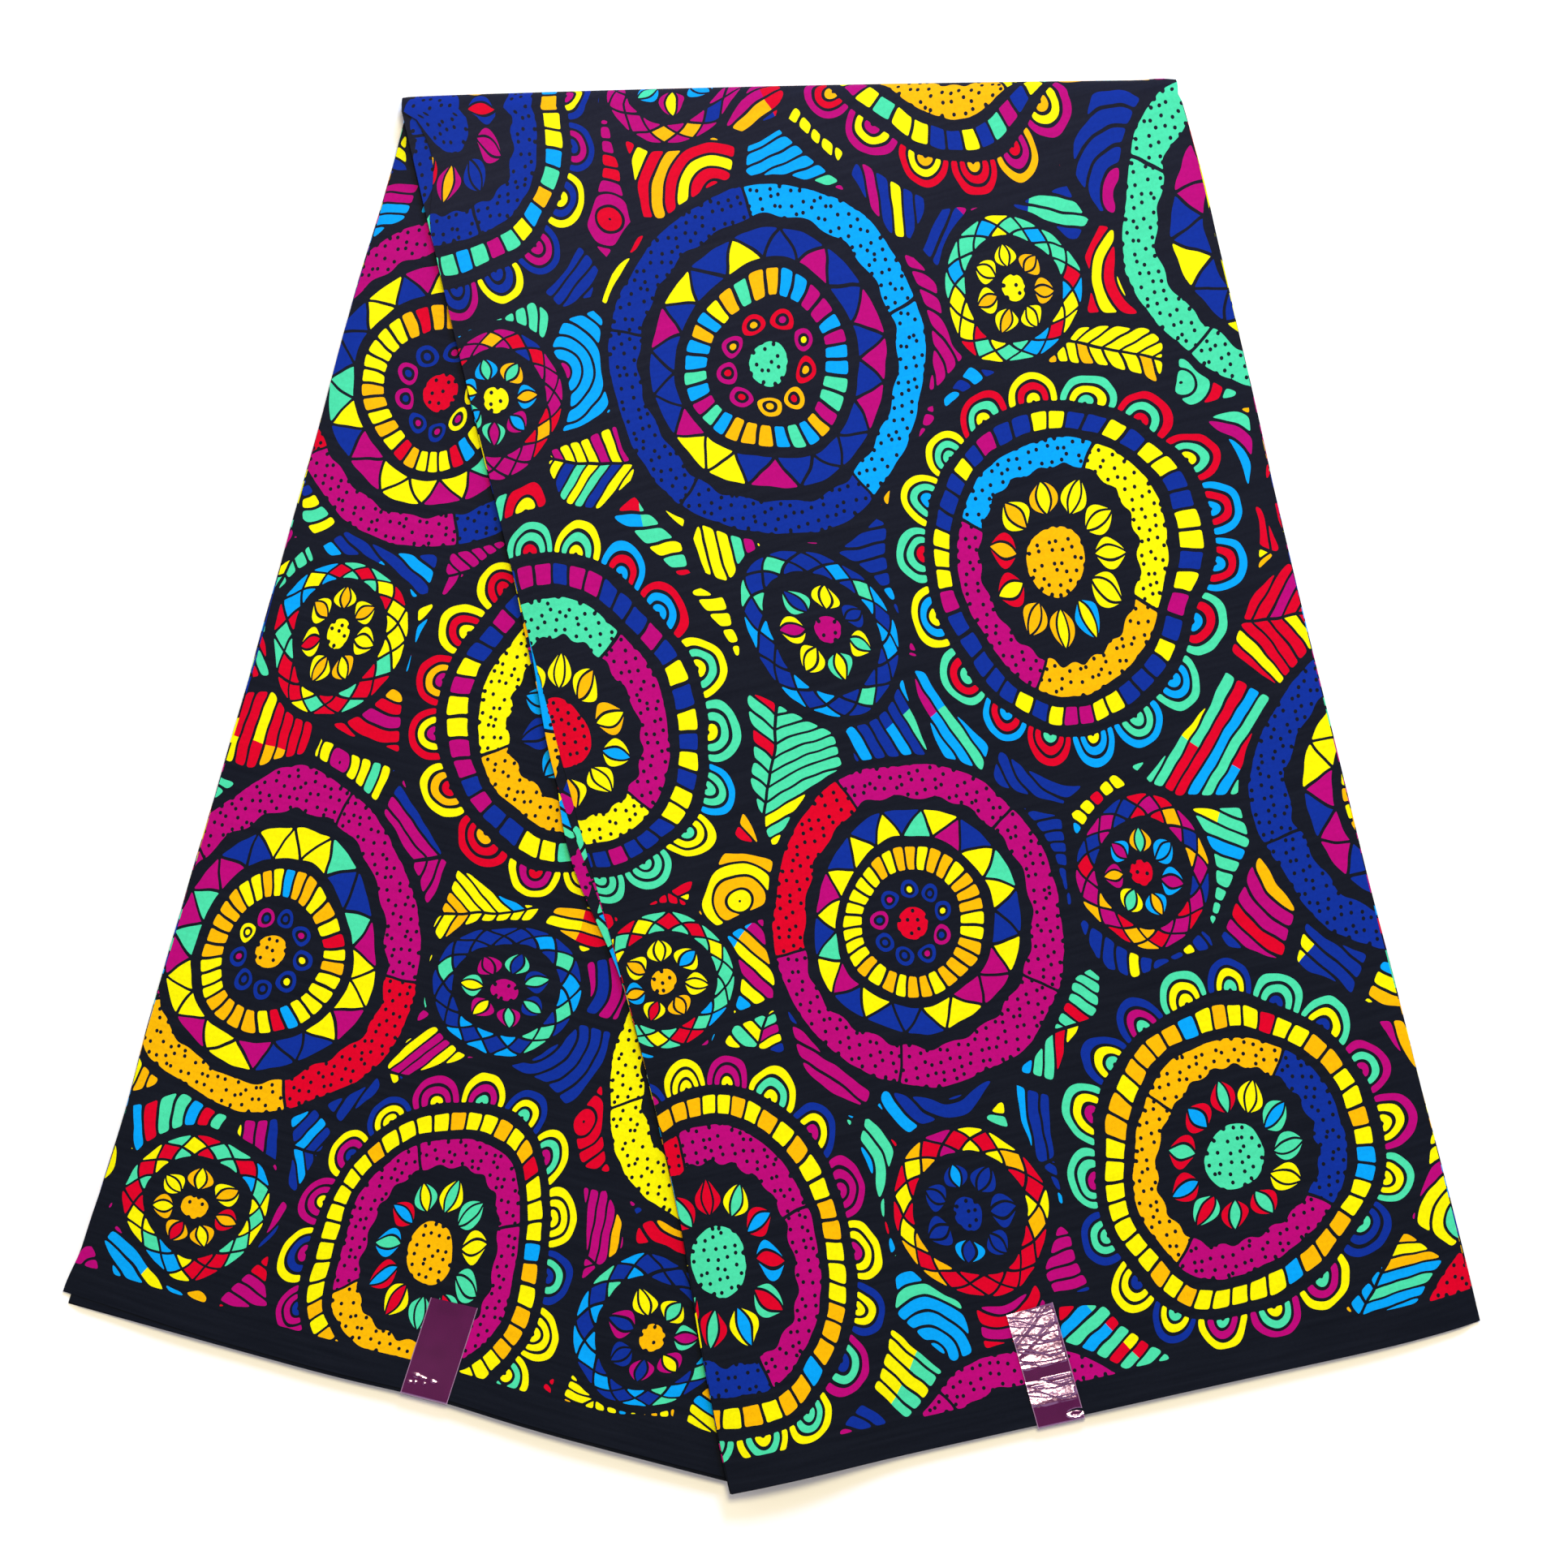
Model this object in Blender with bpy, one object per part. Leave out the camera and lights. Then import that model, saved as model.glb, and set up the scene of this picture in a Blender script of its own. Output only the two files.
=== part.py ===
"""A length of printed cotton, folded for sale: a long strip of many layers, doubled over at the top so that
its two halves fan out to the left and right, with a film seal round the selvages of each half.

Metres, +Z up. The cloth lies flat on z = 0. +Y runs from the selvages towards the top fold.
"""

import math

import bpy
import bmesh
from mathutils import Vector

# The top fold, where the strip doubles over, as a straight line seen from above
FOLD_LENGTH = 0.331
FOLD_TILT = math.radians(1.3)

# The two halves of the strip, seen from above. lean is the turn of a half's centre line from -Y towards +X,
# length runs from the top fold to the selvages, and width and tilt belong to the selvage edge. swell is how
# far the selvages' middle reaches past their ends. The left side of a half bows inwards by bow, most at the
# share bow_peak of the way down, and bow_power is 1 for a broad bow or 2 for one that fades out at both ends.
HALVES = {
    "front": {
        "lean": math.radians(13.45), "length": 0.580, "width": 0.3275, "tilt": math.radians(13.1),
        "swell": 0.0015, "bow": 0.0066, "bow_peak": 0.73, "bow_power": 2,
    },
    "back": {
        "lean": math.radians(-16.4), "length": 0.582, "width": 0.302, "tilt": math.radians(-15.1),
        "swell": 0.0008, "bow": 0.0030, "bow_peak": 0.32, "bow_power": 1,
    },
}

# The stack, from the middle plane outwards in each half. A leaf is a few layers of cloth pressed together.
MESH_GAP = 0.0003
LEAF_WALL = 0.0015
HIDDEN_WALL = 0.0032
INNERMOST = MESH_GAP / 2

# One row for each nested leaf, from the inside out: how far its left side peeks out of each half's bow, how
# far both its sides stay back from the half's outline, and how far its selvages reach past the half's end.
LEAVES = {
    "inner_leaf": {
        "wall": LEAF_WALL, "front_peek": 0.0018, "back_peek": 0.0, "side_inset": 0.0004,
        "front_reach": -0.0016, "back_reach": -0.0042,
    },
    "hidden_layers": {
        "wall": HIDDEN_WALL, "front_peek": 0.0036, "back_peek": 0.0012, "side_inset": 0.0012,
        "front_reach": -0.0010, "back_reach": -0.0010,
    },
    "outer_leaf": {
        "wall": LEAF_WALL, "front_peek": 0.0, "back_peek": 0.0006, "side_inset": 0.0,
        "front_reach": 0.0, "back_reach": 0.0,
    },
}

# Where the front half comes off the back half and sinks to the floor
SINK_STARTS = 0.014
SINK_WIDTH = 0.052

# Rims. Each row is a share of the wall, from its outer face to its inner one, and a reach past the outline.
ROUND_RIM = [(0.0, 0.0), (0.28, 0.0005), (0.72, 0.0005), (1.0, 0.0)]
RIDGES = 4
RIDGE_REACH = 0.0009
VALLEY_REACH = 0.0001

# Grid of each leaf
COLUMNS = 16
FRONT_ROWS = 16
BEND_ROWS = 8
BACK_ROWS = 9

# The film seals, one on each half. across is the place of the seal's centre line over the half's width,
# flap the length on top, and turn its angle to the half's own centre line.
FILM_WALL = 0.0005
SEAL_WIDTH = 0.0206
SEAL_CORNER = 0.0011
SEAL_CORNER_STEPS = 3
SEALS = {
    "seal_left": {"half": "back", "across": 0.524, "flap": 0.0425, "turn": math.radians(-2.7)},
    "seal_right": {"half": "front", "across": 0.443, "flap": 0.0500, "turn": math.radians(2.5)},
}

MATERIALS = {
    "printed_cotton": {"color": (0.03, 0.05, 0.17), "roughness": 0.85},
    "seal_film": {"color": (0.10, 0.02, 0.09), "roughness": 0.18},
}


def stack_of_leaves():
    """The radius of each leaf's inner and outer face about the middle plane, from the inside out."""
    faces = {}
    radius = INNERMOST
    for name, leaf in LEAVES.items():
        faces[name] = (radius, radius + leaf["wall"])
        radius += leaf["wall"] + MESH_GAP
    return faces


LEAF_FACES = stack_of_leaves()
OUTERMOST = LEAF_FACES["outer_leaf"][1]
MIDDLE = OUTERMOST
SINK = MIDDLE + INNERMOST


def heading(angle):
    """The plan direction that is turned by the angle from +X."""
    return Vector((math.cos(angle), math.sin(angle), 0.0))


def up(height):
    return Vector((0.0, 0.0, height))


FOLD_ALONG = heading(FOLD_TILT)
FOLD_OUT = heading(FOLD_TILT + math.pi / 2)
AXIS_MIDDLE = -OUTERMOST * FOLD_OUT


def selvage_end(half, across):
    """The plan point on a half's selvage edge, across running from 0 at its left end to 1 at its right."""
    size = HALVES[half]
    centre = size["length"] * Vector((math.sin(size["lean"]), -math.cos(size["lean"]), 0.0))
    return centre + (across - 0.5) * size["width"] * heading(size["tilt"])


def axis_point(across):
    """The plan point on the line that the strip bends round."""
    return AXIS_MIDDLE + (across - 0.5) * FOLD_LENGTH * FOLD_ALONG


def smooth_step(x):
    x = min(max(x, 0.0), 1.0)
    return x * x * (3.0 - 2.0 * x)


def sink_at(point):
    """How far the front half has sunk at a plan point: it slopes down beyond the back half's right side."""
    start, end = axis_point(1.0), selvage_end("back", 1.0)
    along = (end - start).normalized()
    beyond = (point - start).dot(Vector((-along.y, along.x, 0.0)))
    return SINK * smooth_step((beyond - SINK_STARTS) / SINK_WIDTH)


def across_of(half, down):
    """The unit direction across a half from left to right, a share down of the way to its selvages."""
    left = axis_point(0.0).lerp(selvage_end(half, 0.0), down)
    right = axis_point(1.0).lerp(selvage_end(half, 1.0), down)
    return (right - left).normalized()


def down_of(half):
    """The unit direction down a half, from the fold to its selvages."""
    return (selvage_end(half, 0.5) - axis_point(0.5)).normalized()


def bow_shape(half, down):
    """How much of a half's bow applies a share down of the way to its selvages, from 0 to 1."""
    size = HALVES[half]
    exponent = math.log(0.5) / math.log(size["bow_peak"])
    return math.sin(math.pi * down ** exponent) ** size["bow_power"]


def plan_point(half, across, down):
    """A plan point of a half, with the bow of its left side and the swell of its selvages."""
    size = HALVES[half]
    point = axis_point(across).lerp(selvage_end(half, across), down)
    bow = size["bow"] * bow_shape(half, down) * (1.0 - across) ** 2
    swell = size["swell"] * math.sin(math.pi * across) * down
    return point + bow * across_of(half, down) + swell * down_of(half)


def rim_shift(leaf, half, across, down):
    """How far a leaf's own rim lies from the half's outline. It is zero inside the rim, where they stack."""
    row = LEAVES[leaf]
    sideways = 0.0
    if across == 0.0:
        sideways = row["side_inset"] - row[half + "_peek"] * bow_shape(half, down)
    elif across == 1.0:
        sideways = -row["side_inset"]
    reach = row[half + "_reach"] if down == 1.0 else 0.0
    return sideways * across_of(half, down) + reach * down_of(half)


def stations():
    """The rows of a leaf from the front selvage, over the top fold, to the back one, as (part, share)."""
    front = [("front", 1.0 - i / FRONT_ROWS) for i in range(FRONT_ROWS)]
    bend = [("bend", i / BEND_ROWS) for i in range(BEND_ROWS + 1)]
    back = [("back", (i + 1) / BACK_ROWS) for i in range(BACK_ROWS)]
    return front + bend + back


def place(leaf, part, share, across, radius):
    """A point of the strip at a distance from its middle plane: above it on the front half, round the axis in
    the bend, and below it on the back half."""
    if part == "bend":
        turn = math.pi * (0.5 - share)
        level = axis_point(across) + rim_shift(leaf, "back", across, 0.0)
        return level + radius * math.cos(turn) * FOLD_OUT + up(MIDDLE + radius * math.sin(turn))
    flat = plan_point(part, across, share)
    point = flat + rim_shift(leaf, part, across, share)
    if part == "front":
        return point + up(MIDDLE + radius - sink_at(flat))
    return point + up(MIDDLE - radius)


def outward(part, share, across):
    """The direction out of the sheet's outline at a point of its rim, unit length, level with the floor."""
    side = {0.0: -1.0, 1.0: 1.0}.get(across, 0.0)
    if part == "bend":
        return side * FOLD_ALONG
    out = side * across_of(part, share)
    if share == 1.0:
        out = out + down_of(part)
    return out.normalized()


def layered_rim():
    """The rim of the hidden layers: a ridge for each group of folded edges, with valleys between them."""
    rows = [(0.0, VALLEY_REACH)]
    for i in range(RIDGES):
        rows.append(((i + 0.5) / RIDGES, RIDGE_REACH))
        rows.append(((i + 1) / RIDGES, VALLEY_REACH))
    return rows


def make_object(name, points, faces, material):
    mesh = bpy.data.meshes.new(name)
    mesh.from_pydata(points, [], faces)
    mesh.validate()
    builder = bmesh.new()
    builder.from_mesh(mesh)
    bmesh.ops.recalc_face_normals(builder, faces=builder.faces)
    bmesh.ops.triangulate(builder, faces=builder.faces)
    builder.to_mesh(mesh)
    builder.free()
    mesh.shade_smooth()
    mesh.set_sharp_from_angle(angle=math.radians(40.0))
    mesh.materials.append(material)
    made = bpy.data.objects.new(name, mesh)
    bpy.context.scene.collection.objects.link(made)
    return made


def make_leaf(name, rim, material):
    """A leaf as one closed solid: its outer and inner faces on one grid, joined by the rows of its rim."""
    inner, outer = LEAF_FACES[name]
    rows = stations()
    width = COLUMNS + 1
    points = []
    for radius in (outer, inner):
        for part, share in rows:
            points += [place(name, part, share, i / COLUMNS, radius) for i in range(width)]
    layer = len(rows) * width

    faces = []
    for j in range(len(rows) - 1):
        for i in range(COLUMNS):
            quad = [j * width + i, j * width + i + 1, (j + 1) * width + i + 1, (j + 1) * width + i]
            faces.append(quad)
            faces.append([layer + k for k in reversed(quad)])

    last = len(rows) - 1
    border = [(0, i) for i in range(COLUMNS)] + [(j, COLUMNS) for j in range(last)]
    border += [(last, i) for i in range(COLUMNS, 0, -1)] + [(j, 0) for j in range(last, 0, -1)]
    bands = [[j * width + i for j, i in border]]
    for share_of_wall, reach in rim[1:-1]:
        radius = outer + share_of_wall * (inner - outer)
        bands.append(list(range(len(points), len(points) + len(border))))
        for j, i in border:
            part, share = rows[j]
            across = i / COLUMNS
            points.append(place(name, part, share, across, radius) + reach * outward(part, share, across))
    bands.append([layer + j * width + i for j, i in border])
    for upper, lower in zip(bands, bands[1:]):
        for k in range(len(border)):
            following = (k + 1) % len(border)
            faces.append([upper[k], upper[following], lower[following], lower[k]])
    return make_object(name, points, faces, material)


def make_seal(name, material):
    """A strip of film that lies on a half's face and turns down over its selvages, clear of the floor."""
    size = SEALS[name]
    half = size["half"]
    on_leaf = "outer_leaf" if half == "front" else "inner_leaf"
    furthest = max(leaf[half + "_reach"] for leaf in LEAVES.values()) + HALVES[half]["swell"]
    radius = {"front": LEAF_FACES[on_leaf][1], "back": -LEAF_FACES[on_leaf][0]}[half]
    floor_level = MIDDLE - (SINK if half == "front" else 0.0)
    face = floor_level + radius + MESH_GAP

    down = heading(HALVES[half]["tilt"] + size["turn"] - math.pi / 2)
    across = heading(HALVES[half]["tilt"] + size["turn"])
    edge_slack = SEAL_WIDTH / 2 * abs(math.sin(size["turn"]))
    corner_start = furthest + RIDGE_REACH + MESH_GAP + edge_slack - SEAL_CORNER
    origin = selvage_end(half, size["across"])

    def profile(offset):
        """The side view of one face of the film, as distance past the selvage and height."""
        bend = SEAL_CORNER + offset
        steps = [math.pi / 2 * i / SEAL_CORNER_STEPS for i in range(SEAL_CORNER_STEPS + 1)]
        line = [(corner_start - size["flap"], face + offset)]
        line += [(corner_start + bend * math.sin(a), face - SEAL_CORNER + bend * math.cos(a)) for a in steps]
        return line + [(corner_start + bend, MESH_GAP)]

    section = profile(FILM_WALL) + list(reversed(profile(0.0)))
    points = []
    for side in (-0.5, 0.5):
        for distance, height in section:
            points.append(origin + distance * down + side * SEAL_WIDTH * across + up(height))
    count = len(section)
    half_count = count // 2
    faces = []
    for k in range(count):
        following = (k + 1) % count
        faces.append([k, following, count + following, count + k])
    for start in (0, count):
        for k in range(half_count - 1):
            a, b = start + k, start + count - 1 - k
            faces.append([a, a + 1, b - 1, b])
    return make_object(name, points, faces, material)


def centre_on_origin(objects):
    """Shifts every mesh so that the middle of the whole part's plan is at the origin."""
    corners = [vertex.co for item in objects for vertex in item.data.vertices]
    low = [min(corner[i] for corner in corners) for i in (0, 1)]
    high = [max(corner[i] for corner in corners) for i in (0, 1)]
    shift = Vector((-(low[0] + high[0]) / 2, -(low[1] + high[1]) / 2, 0.0))
    for item in objects:
        for vertex in item.data.vertices:
            vertex.co += shift


def make_material(name):
    look = MATERIALS[name]
    material = bpy.data.materials.new(name)
    material.use_nodes = True
    shader = material.node_tree.nodes["Principled BSDF"]
    shader.inputs["Base Color"].default_value = (*look["color"], 1.0)
    shader.inputs["Roughness"].default_value = look["roughness"]
    shader.inputs["Metallic"].default_value = 0.0
    return material


for old in list(bpy.data.objects):
    bpy.data.objects.remove(old)

cotton = make_material("printed_cotton")
film = make_material("seal_film")
parts = [
    make_leaf("outer_leaf", ROUND_RIM, cotton),
    make_leaf("hidden_layers", layered_rim(), cotton),
    make_leaf("inner_leaf", ROUND_RIM, cotton),
    make_seal("seal_left", film),
    make_seal("seal_right", film),
]
centre_on_origin(parts)
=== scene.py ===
"""A six-yard length of printed cotton, folded for sale and doubled over at the top, on a white table.

Metres, +Z up. Seen from above, +Y runs from the selvages to the top fold and +X to the right.
"""

import math
from functools import partialmethod

import bpy
import numpy as np
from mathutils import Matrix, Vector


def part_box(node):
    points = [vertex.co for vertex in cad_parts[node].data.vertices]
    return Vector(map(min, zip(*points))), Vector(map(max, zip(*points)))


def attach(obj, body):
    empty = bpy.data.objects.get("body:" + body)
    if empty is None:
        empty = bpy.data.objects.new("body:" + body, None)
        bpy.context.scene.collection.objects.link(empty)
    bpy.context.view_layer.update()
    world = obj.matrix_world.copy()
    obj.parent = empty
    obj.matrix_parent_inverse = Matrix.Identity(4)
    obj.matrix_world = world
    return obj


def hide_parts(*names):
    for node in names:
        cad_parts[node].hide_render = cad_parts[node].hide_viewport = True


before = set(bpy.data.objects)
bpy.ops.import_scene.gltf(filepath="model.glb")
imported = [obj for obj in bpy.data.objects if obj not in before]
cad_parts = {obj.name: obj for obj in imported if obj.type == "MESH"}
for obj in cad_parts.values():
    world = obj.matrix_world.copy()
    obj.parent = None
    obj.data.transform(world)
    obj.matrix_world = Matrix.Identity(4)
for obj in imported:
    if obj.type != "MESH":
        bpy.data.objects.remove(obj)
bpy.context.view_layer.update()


# The outer leaf: the outermost layers of the cloth, which are the face of the front half, the top fold and
# the underside of the back half. It is plain-weave cotton, wax printed alike on both faces, with a dark
# ground, seven bright inks and dark bands along the selvages.
MM = 0.001
CLOTH_WIDTH = 1.16
SELVAGE_BAND = 14 * MM
BAND_OVERLAP = 2 * MM
THREAD = 0.42 * MM
MOTTLE_SCALE = 700.0
SLUB_SCALES = (26.0, 420.0, 0.0)
# A painted sheen: a pale bluish colour added to the cloth in place of light glancing off it, strongest near
# the top fold and weaker on the inks.
PAINTED_SHEEN = (0.008, 0.0072, 0.0128)
PAINTED_SHEEN_ON_INK = 0.4
PAINTED_SHEEN_REACH = 200 * MM


def linear(red, green, blue):
    """A colour given as a screen shows it, from 0 to 255, as linear light from 0 to 1."""
    share = np.array([red, green, blue]) / 255
    light = np.where(share <= 0.04045, share / 12.92, ((share + 0.055) / 1.055) ** 2.4)
    return tuple(float(part) for part in light)


# The print is a made-up design of rosettes, with small patches of arcs, veins and stripes between them. It
# follows the cloth's own coordinates: u along the length and v across it, from selvage to selvage.
INKS = {
    "ground": linear(11, 15, 24),
    "yellow": linear(228, 222, 2),
    "orange": linear(228, 169, 2),
    "red": linear(201, 0, 35),
    "magenta": linear(169, 4, 108),
    "cobalt": linear(11, 42, 137),
    "sky": linear(2, 149, 226),
    "mint": linear(68, 203, 154),
}

# Each palette's inks, as shares of 16
PALETTES = {
    "sun": {"yellow": 8, "orange": 6, "red": 1, "sky": 1},
    "sea": {"cobalt": 8, "sky": 5, "mint": 3},
    "berry": {"magenta": 8, "red": 3, "cobalt": 3, "orange": 2},
    "leaf": {"mint": 6, "sky": 3, "red": 4, "yellow": 3},
    "fire": {"red": 6, "orange": 4, "yellow": 4, "magenta": 2},
    "night": {"cobalt": 9, "yellow": 4, "magenta": 3},
    "mixed": {"yellow": 5, "magenta": 4, "mint": 3, "cobalt": 4},
    "bright": {"sky": 5, "magenta": 3, "mint": 3, "orange": 3, "yellow": 2},
}
PALETTE_SHARES = 16
SHAPES = ["ground", "dotted", "bars", "teeth", "shells", "petals", "diamonds", "beads"]

# Rosettes: a row for each ring, from the middle out, with its inner and outer radius in mm, the number of
# equal parts round it, their shape and their palette.
ROSETTES = {
    "sunburst": [
        (0.0, 13.0, 1, "dotted", "fire"),
        (17.0, 31.0, 11, "petals", "sun"),
        (34.5, 47.0, 4, "dotted", "bright"),
        (51.0, 58.5, 44, "bars", "night"),
        (63.0, 75.5, 18, "shells", "leaf"),
    ],
    "wheel": [
        (0.0, 7.5, 1, "dotted", "sun"),
        (10.5, 20.5, 9, "beads", "sea"),
        (24.0, 33.5, 32, "bars", "fire"),
        (37.5, 49.0, 16, "teeth", "berry"),
        (53.5, 68.0, 5, "dotted", "mixed"),
    ],
    "button": [
        (0.0, 5.5, 1, "dotted", "berry"),
        (8.5, 19.0, 7, "petals", "mixed"),
        (22.5, 30.5, 14, "diamonds", "sea"),
    ],
}
ROSETTE_PITCH = 232 * MM
ROSETTE_START = 30 * MM
RING_TABLE_REACH = 78 * MM
MOST_SECTORS = 64
RIM = 1 * MM
RIPPLES = 20
RIPPLE = 0.9 * MM
INK_ROUNDING = 1.6 * MM
JITTER = {"sunburst": 12 * MM, "wheel": 16 * MM, "button": 10 * MM}
LINE = 0.65 * MM
DOT_SPACING = 4.3 * MM
DOT_SCATTER = 0.6
DOT_RADIUS = 0.8 * MM
PATCH_SIZE = 42 * MM
PATCH_SCATTER = 0.95
PATCH_STEP = 5.6 * MM
PATCH_GAP = 2.9 * MM
PATCH_ROUNDING = 3 * MM
FILL_ROUNDING = 2.2 * MM
ARCS_OFFSET = 16 * MM
VEINED_FROM = 0.45
STRIPED_FROM = 0.72
SWAY = 30 * MM


class Number:
    """A number that a shader works out. Each operator or method adds its Math nodes."""

    def __init__(self, tree, socket):
        self.tree = tree
        self.socket = socket

    def math(self, operation, *others):
        node = shader_node(self.tree, "Math", [self, *others], operation=operation)
        return Number(self.tree, node.outputs[0])

    __add__ = partialmethod(math, "ADD")
    __sub__ = partialmethod(math, "SUBTRACT")
    __mul__ = partialmethod(math, "MULTIPLY")
    __truediv__ = partialmethod(math, "DIVIDE")
    over = partialmethod(math, "GREATER_THAN")
    under = partialmethod(math, "LESS_THAN")
    floor = partialmethod(math, "FLOOR")
    fraction = partialmethod(math, "FRACT")
    size = partialmethod(math, "ABSOLUTE")
    least = partialmethod(math, "MINIMUM")
    least_rounded = partialmethod(math, "SMOOTH_MIN")
    wrapped = partialmethod(math, "FLOORED_MODULO")
    sine = partialmethod(math, "SINE")

    def equals(self, other):
        return self.math("COMPARE", other, 0.5)

    def from_one(self):
        return self.math("MULTIPLY_ADD", -1.0, 1.0)

    def line_distance(self):
        """How far the number is from the nearest whole number, from 0 to 0.5."""
        return (self.fraction() - 0.5).size().math("MULTIPLY_ADD", -1.0, 0.5)

    def blend(self, other, share):
        """This number where share is 0 and the other where it is 1."""
        node = shader_node(self.tree, "Mix", {0: share, 2: self, 3: other}, data_type="FLOAT")
        return Number(self.tree, node.outputs[0])


def plug(tree, socket, value):
    """Gives a socket its value: a number of the shader, another node's output, or a plain value."""
    if isinstance(value, Number):
        tree.links.new(value.socket, socket)
    elif isinstance(value, bpy.types.NodeSocket):
        tree.links.new(value, socket)
    else:
        socket.default_value = value


def shader_node(tree, kind, inputs, **settings):
    """A shader node with its settings. inputs is a list of values, or a table of them by name or place."""
    node = tree.nodes.new("ShaderNode" + kind)
    for name, setting in settings.items():
        setattr(node, name, setting)
    for place, value in inputs.items() if isinstance(inputs, dict) else enumerate(inputs):
        plug(tree, node.inputs[place], value)
    return node


def vector(tree, x, y, z=0.0):
    return shader_node(tree, "CombineXYZ", [x, y, z]).outputs[0]


def split(tree, socket):
    return [Number(tree, output) for output in shader_node(tree, "SeparateXYZ", [socket]).outputs]


def vector_math(tree, operation, *values):
    return shader_node(tree, "VectorMath", values, operation=operation).outputs[0]


def length(tree, socket):
    return Number(tree, shader_node(tree, "VectorMath", [socket], operation="LENGTH").outputs["Value"])


def mix(tree, kind, share, first, second):
    """A mix of two vectors or colours: the first where share is 0 and the second where it is 1."""
    first, second = ((*value, 1.0) if isinstance(value, tuple) else value for value in (first, second))
    low, high, result = {"VECTOR": (4, 5, 1), "RGBA": (6, 7, 2)}[kind]
    return shader_node(tree, "Mix", {0: share, low: first, high: second}, data_type=kind).outputs[result]


def noise(tree, coords, scale, detail=0.0, output="Fac", lacunarity=2.0, roughness=0.5):
    inputs = {"Vector": coords, "Scale": scale, "Detail": detail, "Lacunarity": lacunarity,
              "Roughness": roughness}
    return shader_node(tree, "TexNoise", inputs, noise_dimensions="2D").outputs[output]


def chance(tree, seeds):
    """A random number from 0 to 1 and three random ones as a vector, the same wherever the seeds are."""
    node = shader_node(tree, "TexWhiteNoise", {"Vector": seeds}, noise_dimensions="3D")
    return Number(tree, node.outputs["Value"]), node.outputs["Color"]


def steps(tree, position, stops):
    """A table of steps: from each stop's position on, its three values. The first stop is at 0."""
    node = tree.nodes.new("ShaderNodeValToRGB")
    node.color_ramp.interpolation = "CONSTANT"
    elements = node.color_ramp.elements
    elements.remove(elements[1])
    for start, values in stops:
        element = elements.new(start) if start else elements[0]
        element.color = (*values, 1.0)
    plug(tree, node.inputs[0], position)
    return node.outputs[0]


def voronoi(tree, coords, spacing, randomness, feature="F1"):
    inputs = {"Vector": coords, "Scale": 1 / spacing, "Randomness": randomness}
    return shader_node(tree, "TexVoronoi", inputs, voronoi_dimensions="2D", feature=feature)


def places(tree, coords, pitch, start, jitter, seed):
    """The nearest place of a square lattice, each place moved a little at random: the vector from it, its
    row and column, and its own random number."""
    scaled = vector_math(tree, "MULTIPLY_ADD", coords, (1 / pitch, 1 / pitch, 0.0),
                         (start / pitch, start / pitch, 0.0))
    cell = vector_math(tree, "FLOOR", scaled)
    within = vector_math(tree, "SUBTRACT", scaled, cell)
    centred = vector_math(tree, "MULTIPLY_ADD", within, (pitch, pitch, 0.0), (-pitch / 2, -pitch / 2, 0.0))
    luck, moves = chance(tree, vector_math(tree, "ADD", cell, (0.0, 0.0, seed)))
    move = vector_math(tree, "MULTIPLY_ADD", moves, (jitter, jitter, 0.0), (-jitter / 2, -jitter / 2, 0.0))
    return vector_math(tree, "ADD", centred, move), cell, luck


def ring_tables(tree, radius, rings):
    """The ring at a radius: its sectors, shape and palette, and its inner radius and width. Ground lies
    between the rings."""
    looks, sizes = [], []
    for inner, outer, sectors, shape, palette in rings:
        low, high = inner * MM, outer * MM
        start, end = low / RING_TABLE_REACH, high / RING_TABLE_REACH
        look = (sectors / MOST_SECTORS, SHAPES.index(shape) / len(SHAPES),
                list(PALETTES).index(palette) / len(PALETTES))
        looks += [(start, look), (end, (1 / MOST_SECTORS, 0.0, 0.0))]
        sizes += [(start, (low, high - low, 0.0)), (end, (high, MM, 0.0))]
    position = radius / RING_TABLE_REACH
    return steps(tree, position, looks), steps(tree, position, sizes)


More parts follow.
